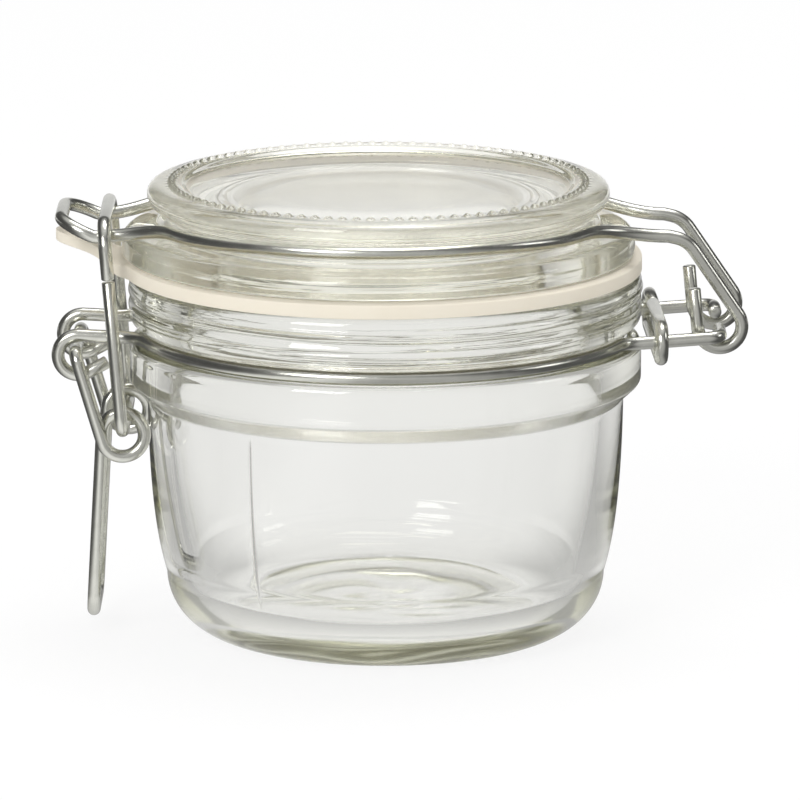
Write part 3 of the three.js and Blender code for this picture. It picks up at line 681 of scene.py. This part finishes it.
lid_profile = [
    (0, CEILING),
    *curve((HOLLOW_R - 9, CEILING), (HOLLOW_R, CEILING), (HOLLOW_R, CEILING - 6.5), 24),
    *curve((HOLLOW_R, PLUG_Z + 1.2), (HOLLOW_R, PLUG_Z), (PLUG_R - PLUG_WALL / 2, PLUG_Z), 8),
    *curve((PLUG_R - PLUG_WALL / 2, PLUG_Z), (PLUG_R, PLUG_Z), (PLUG_R, PLUG_Z + 1.2), 8),
    (PLUG_R, LID_Z),
    *curve((NECK_R - 0.6, LID_Z), (NECK_R, LID_Z), (NECK_R, LID_Z + 0.6), 6),
    *curve((NECK_R, LID_Z + 1.7), (NECK_R, SHOULDER_Z), (NECK_R - 2.1, SHOULDER_Z)),
    *curve((NECK_R - 2.1, SHOULDER_Z), (LID_RING_R, SHOULDER_Z), (LID_RING_R, LID_RING_Z - SEAT), 10),
    *arc((LID_RING_R, LID_RING_Z), SEAT, -90, -270, 12),
    *curve((LID_RING_R, CROWN_Z), (CROWN_R, CROWN_Z), (CROWN_R, (CROWN_Z + TOP_Z) / 2), 8),
    *curve((CROWN_R, (CROWN_Z + TOP_Z) / 2), (CROWN_R, TOP_Z), (CROWN_R - 2.2, TOP_Z), 10),
    *[(r, TOP_Z) for r in np.linspace(BEAD_RING_R + BEAD_R, BEAD_RING_R - BEAD_R, 9)],
    *curve((PANEL_R + 1.0, TOP_Z), (PANEL_R + 0.5, TOP_Z), (PANEL_R + 0.1, TOP_Z - 0.4), 6),
    *curve((PANEL_R + 0.1, TOP_Z - 0.4), (PANEL_R - 0.3, PANEL_Z), (PANEL_R - 1.2, PANEL_Z), 6),
    (0, PANEL_Z),
]


def bead_ring(radius, height, angles):
    """Round beads on the top rim."""
    if height < TOP_Z - 0.01 or abs(radius - BEAD_RING_R) > BEAD_R:
        return 0 * angles, 0 * angles
    pitch = 2 * math.pi / BEADS
    along = (np.mod(angles + pitch / 2, pitch) - pitch / 2) * BEAD_RING_R
    away = ((radius - BEAD_RING_R) ** 2 + along**2) / BEAD_R**2
    return 0 * angles, BEAD_HEIGHT * np.sqrt(np.clip(1 - away, 0, 1))


lid_angles = np.linspace(-math.pi, math.pi, BEADS * COLUMNS_PER_BEAD, endpoint=False)
hazy = [(CEILING - 1.2, CEILING + 0.6, HOLLOW_R + 1, 0.2)]
lid_glass = pressed_glass("lid_glass", LID_TINT, LID_Z, CROWN_Z + 1, 0.04, 18, hazy)
lid = turned("lid_crown", lid_profile, lid_angles, lid_glass, axis_x=LID_X, relief=bead_ring)
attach(lid, "lid")
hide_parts("glass_lid")


# Rubber ring: moulded natural rubber, flat where the lid presses on it, with a thinner tab that is pulled
# to let air in. The tab bends up between the legs of the link.
rubber_low, rubber_high = map(to_mm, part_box("rubber_ring"))
RUBBER_R = (rubber_high.y - rubber_low.y) / 2
RUBBER_X = rubber_high.x - RUBBER_R
RUBBER_THICK = 2.2
RUBBER_HOLE_R = PLUG_R + FIT + RUBBER_X - LID_X
TAB_REACH = RUBBER_X - rubber_low.x - RUBBER_R
TAB_THICK = 1.5
TAB_HALF_ROOT = 9
TAB_HALF_TIP = 4.2
TAB_BEND = 1.7
TAB_RISE = rubber_high.z - rubber_low.z - TAB_THICK
TAB_STEEP = 0.77
RUBBER_EDGE = 0.35
RUBBER_COLOUR = (0.87, 0.805, 0.675, 1)


def natural_rubber(name):
    """Cream natural rubber with a soft sheen, a little cloudy, with fine mould grain."""
    material, shade, output = blank_material(name)
    place = shade.node("TexCoord", {}, out="Object")
    clouds = shade.node("TexNoise", {"Vector": place, "Scale": 160, "Detail": 3})
    grain = shade.node("TexNoise", {"Vector": place, "Scale": 3200, "Detail": 3})
    colour = shade.node(
        "ValToRGB",
        {0: clouds},
        stops=[(0.0, (0.83, 0.755, 0.62, 1)), (0.5, RUBBER_COLOUR), (1.0, (0.89, 0.83, 0.71, 1))],
    )
    relief = shade.node("Bump", {"Height": grain + clouds * 0.5, "Distance": 0.02 * MM, "Strength": 1})
    rubber = shade.tree.nodes.new("ShaderNodeBsdfPrincipled")
    shade.feed(rubber.inputs["Base Color"], colour)
    shade.feed(rubber.inputs["Roughness"], 0.42 + grain * 0.15)
    shade.feed(rubber.inputs["Normal"], relief)
    shade.feed(output.inputs["Surface"], Socket(shade.tree, rubber.outputs[0]))
    return material


def tab_lift(x):
    """How far the tab has risen at a distance from the ring's axis, along its bend."""
    t = np.linspace(0, 1, 200)
    bend_x = RUBBER_R + TAB_BEND
    out = (1 - t) ** 3 * RUBBER_R + 3 * t * (1 - t) ** 2 * bend_x + 3 * t**2 * (1 - t) * bend_x
    out += t**3 * (RUBBER_R + TAB_REACH)
    up = 3 * t**2 * (1 - t) * TAB_RISE * TAB_STEEP + t**3 * TAB_RISE
    return np.interp(x, out, up)


def rubber_outline():
    """The ring's outer edge seen from above, with the tab drawn out of it at the latch."""
    root = math.degrees(math.asin(TAB_HALF_ROOT / RUBBER_R))
    tip_x = -RUBBER_R - TAB_REACH
    bend_x = -RUBBER_R - TAB_BEND
    root_x = -RUBBER_R * math.cos(math.radians(root))
    half = [
        *curve((root_x, TAB_HALF_ROOT), (bend_x, TAB_HALF_TIP), (tip_x + TAB_HALF_TIP, TAB_HALF_TIP), 24),
        *arc((tip_x + TAB_HALF_TIP, 0), TAB_HALF_TIP, 90, 180, 6),
    ]
    back = [(x, -y) for x, y in half][::-1]
    return without_repeats([*half, *back, *arc((0, 0), RUBBER_R, 180 + root, 540 - root, 2)])[:-1]


outer = rubber_outline()
spans = 16
points = []
for x, y in outer:
    angle = math.atan2(y, x)
    inner_x, inner_y = RUBBER_HOLE_R * math.cos(angle), RUBBER_HOLE_R * math.sin(angle)
    share = np.linspace(0, 1, spans)
    xs, ys = inner_x + (x - inner_x) * share, inner_y + (y - inner_y) * share
    lift = np.where(xs < -RUBBER_R, tab_lift(np.abs(xs)), 0)
    on_tab = np.clip((np.hypot(xs, ys) - RUBBER_R + 1.0) / 2.0, 0, 1)
    thick = RUBBER_THICK + (TAB_THICK - RUBBER_THICK) * on_tab
    ring = [(xs[i], ys[i], lift[i]) for i in range(spans)]
    over = [(xs[i], ys[i], lift[i] + thick[i]) for i in range(spans)][::-1]
    points += [(px + RUBBER_X, py, pz + rubber_low.z) for px, py, pz in ring + over]
per = 2 * spans
faces = []
for k in range(len(outer)):
    m = (k + 1) % len(outer)
    for i in range(per):
        j = (i + 1) % per
        faces.append((k * per + i, k * per + j, m * per + j, m * per + i))
gasket = add_piece("sealing_ring", points, faces, natural_rubber("natural_rubber"))
soften = gasket.modifiers.new("moulded_edges", "BEVEL")
soften.width = RUBBER_EDGE * MM
soften.segments = 3
soften.limit_method = "ANGLE"
soften.angle_limit = math.radians(50)
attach(gasket, "lid")
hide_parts("rubber_ring")


# Lid wire: one wire that lies in the lid's groove, runs out into the loop that the link pulls on, and ends
# in two hooks round the hinge pins.
lid_wire_low = to_mm(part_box("lid_wire")[0])
LEVER_HALF = EYE_HALF + WIRE + 0.4
LINK_HALF = LEVER_HALF + WIRE + 0.4
LOOP_HALF = LINK_HALF - WIRE - 1.3
ON_SHOULDER = SHOULDER_Z + WIRE / 2
ARM_Z = ON_SHOULDER - 0.8
REAR_Z = ON_SHOULDER - 0.75
LOOP_TIP = (lid_wire_low.x + WIRE / 2, ARM_Z + 2)
LOOP_END_R = 4.2
LOOP_RISE_R = 2.5
LOOP_BEND_R = 13
CLIMB_SHARE = 0.85
LEAVE_ANGLE = 66
LEAVE_R = LID_RING_R + 0.9
LEAVE_Z = LID_RING_Z - 0.5
HOOK_BORE = 4.2
HOOK_R = (HOOK_BORE + WIRE) / 2
HOOK_BEND_R = 14
KNEE = (HINGE.x - 4.5, ON_SHOULDER - 1.3)
KNEE_R = 4
STUB_RISE = 5.2
STUB_LEAN = 6


def eased(t):
    return np.clip(t, 0, 1) ** 2 * (3 - 2 * np.clip(t, 0, 1))


def climbing(points, arm_z):
    """Points of a bend that goes up from an arm's level to where the ring leaves its groove."""
    heights = arm_z + (LEAVE_Z - arm_z) * eased(np.linspace(0, 1, len(points)) / CLIMB_SHARE)
    return [(x, y, z) for (x, y), z in zip(points, heights)]


def quarter_ring(exit_angle, side):
    """A quarter of the ring, from an arm's bend to the camera's side, settling in its groove."""
    angles = np.linspace(exit_angle, 90, 30)
    seat = eased((angles - exit_angle) / (LEAVE_ANGLE - exit_angle))
    radii = LEAVE_R + (LID_RING_R - LEAVE_R) * seat
    turn = np.radians(angles)
    heights = LEAVE_Z + (LID_RING_Z - LEAVE_Z) * seat
    return list(zip(LID_X + side * radii * np.cos(turn), -radii * np.sin(turn), heights))


def lid_wire_half():
    """Half of the lid wire, on the camera's side, from the loop's middle to the end of a hook."""
    front_x, front_y, front_angle = ring_exit(LEAVE_R, LOOP_HALF, LOOP_BEND_R)
    rear_x, rear_y, rear_angle = ring_exit(LEAVE_R, HOOK_HALF, HOOK_BEND_R)
    tip = (LOOP_TIP[0], 0, LOOP_TIP[1])
    corner = (LOOP_TIP[0], -LOOP_HALF, LOOP_TIP[1])
    loop_start = (LID_X - front_x, -LOOP_HALF, ARM_Z)
    arm = (LID_X + rear_x, -HOOK_HALF, REAR_Z)
    knee = (KNEE[0], -HOOK_HALF, KNEE[1])
    hook = (HINGE.x, HINGE.z + seated(HOOK_BORE))
    to_x, to_z = hook[0] - KNEE[0], hook[1] - KNEE[1]
    span = math.acos(HOOK_R / math.hypot(to_x, to_z))
    enter = math.degrees(math.atan2(-to_z, -to_x) - span)
    hook_arc = arc(hook, HOOK_R, enter, STUB_LEAN - 180, 6)
    hook_start = (hook_arc[0][0], -HOOK_HALF, hook_arc[0][1])
    stub_z = hook[1] + STUB_RISE
    stub = (hook_arc[-1][0] - (stub_z - hook_arc[-1][1]) * math.tan(math.radians(STUB_LEAN)), stub_z)
    front_bend = (LID_X - front_x, -front_y)
    rear_bend = (LID_X + rear_x, -rear_y)
    front_climb = climbing(arc(front_bend, LOOP_BEND_R, 90, front_angle, 3), ARM_Z)
    return [
        tip,
        *rounded_corner(tip, corner, loop_start, LOOP_END_R),
        *rounded_corner(corner, loop_start, front_climb[1], LOOP_RISE_R),
        *front_climb[1:],
        *quarter_ring(front_angle, -1),
        *quarter_ring(rear_angle, 1)[::-1],
        *climbing(arc(rear_bend, HOOK_BEND_R, 90, 180 - rear_angle, 3), REAR_Z)[::-1],
        *rounded_corner(arm, knee, hook_start, KNEE_R),
        *upright([*hook_arc, stub], -HOOK_HALF),
    ]


half = lid_wire_half()
lid_bail = wire_piece("lid_bail", [*mirrored(half)[::-1], *half[1:]])
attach(lid_bail, "lid")
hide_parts("lid_wire")


# Lever: one wire from the pivot bar in the eyes, down both arms, round a coil on each side and out into
# the handle. Its ends meet in the pivot bar.
lever_low = to_mm(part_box("closing_lever")[0])
COIL_BORE = 4
COIL_R = (COIL_BORE + WIRE) / 2
COIL = (LINK_BAR.x, LINK_BAR.z - seated(COIL_BORE))
COIL_PITCH = 2.3
HANDLE_HALF = LEVER_HALF - COIL_PITCH
HANDLE_Z = lever_low.z + WIRE / 2
HANDLE_LEAN = 3.3
LEVER_BEND_R = 1.6
HANDLE_BEND_R = 2.6


def lever_half():
    """Half of the lever, on the camera's side, from the pivot bar's middle to the handle's."""
    to_x, to_z = COIL[0] - PIVOT.x, COIL[1] - PIVOT.z
    span = math.degrees(math.acos(COIL_R / math.hypot(to_x, to_z)))
    enter = math.degrees(math.atan2(-to_z, -to_x)) + span
    turns = arc(COIL, COIL_R, enter, 540 - HANDLE_LEAN, 6)
    across = np.linspace(-LEVER_HALF, -HANDLE_HALF, len(turns))
    coil = [(x, y, z) for (x, z), y in zip(turns, across)]
    leg = coil[-1]
    handle_x = leg[0] - (leg[2] - HANDLE_Z) * math.tan(math.radians(HANDLE_LEAN))
    bar = (PIVOT.x, -BUTT_GAP / 2, PIVOT.z)
    bar_corner = (PIVOT.x, -LEVER_HALF, PIVOT.z)
    handle_corner = (handle_x, -HANDLE_HALF, HANDLE_Z)
    handle = (handle_x, 0, HANDLE_Z)
    return [
        bar,
        *rounded_corner(bar, bar_corner, coil[0], LEVER_BEND_R),
        *coil,
        *rounded_corner(leg, handle_corner, handle, HANDLE_BEND_R),
        handle,
    ]


half = lever_half()
lever = wire_piece("clamp_lever", [*half, *mirrored(half)[::-1][1:]])
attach(lever, "lever")
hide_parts("closing_lever")


# Link: a closed frame of wire that hangs in the lever's coils and pulls down the lid wire's loop. Its ends
# meet in the leg on the camera's side.
LINK_LEAN = 2.3
LINK_TOP = (LINK_BAR.x - LINK_LEAN, ARM_Z + WIRE + 0.2)  # pulled down onto the loop
LINK_BUTT = 7.6
LINK_BEND_R = 2.6
LINK_TOP_R = 3.6

near_top = (LINK_TOP[0], -LINK_HALF, LINK_TOP[1])
far_top = (LINK_TOP[0], LINK_HALF, LINK_TOP[1])
near_foot = (LINK_BAR.x, -LINK_HALF, LINK_BAR.z)
far_foot = (LINK_BAR.x, LINK_HALF, LINK_BAR.z)


def on_leg(drop):
    """The point of the near leg that lies this far below the top bar."""
    t = drop / (LINK_TOP[1] - LINK_BAR.z)
    return tuple(np.array(near_top) * (1 - t) + np.array(near_foot) * t)


link_path = [
    on_leg(LINK_BUTT - BUTT_GAP),
    *rounded_corner(near_foot, near_top, far_top, LINK_TOP_R),
    *rounded_corner(near_top, far_top, far_foot, LINK_TOP_R),
    *rounded_corner(far_top, far_foot, near_foot, LINK_BEND_R),
    *rounded_corner(far_foot, near_foot, near_top, LINK_BEND_R),
    on_leg(LINK_BUTT),
]
link = wire_piece("link_frame", link_path)
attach(link, "link")
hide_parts("tension_link")
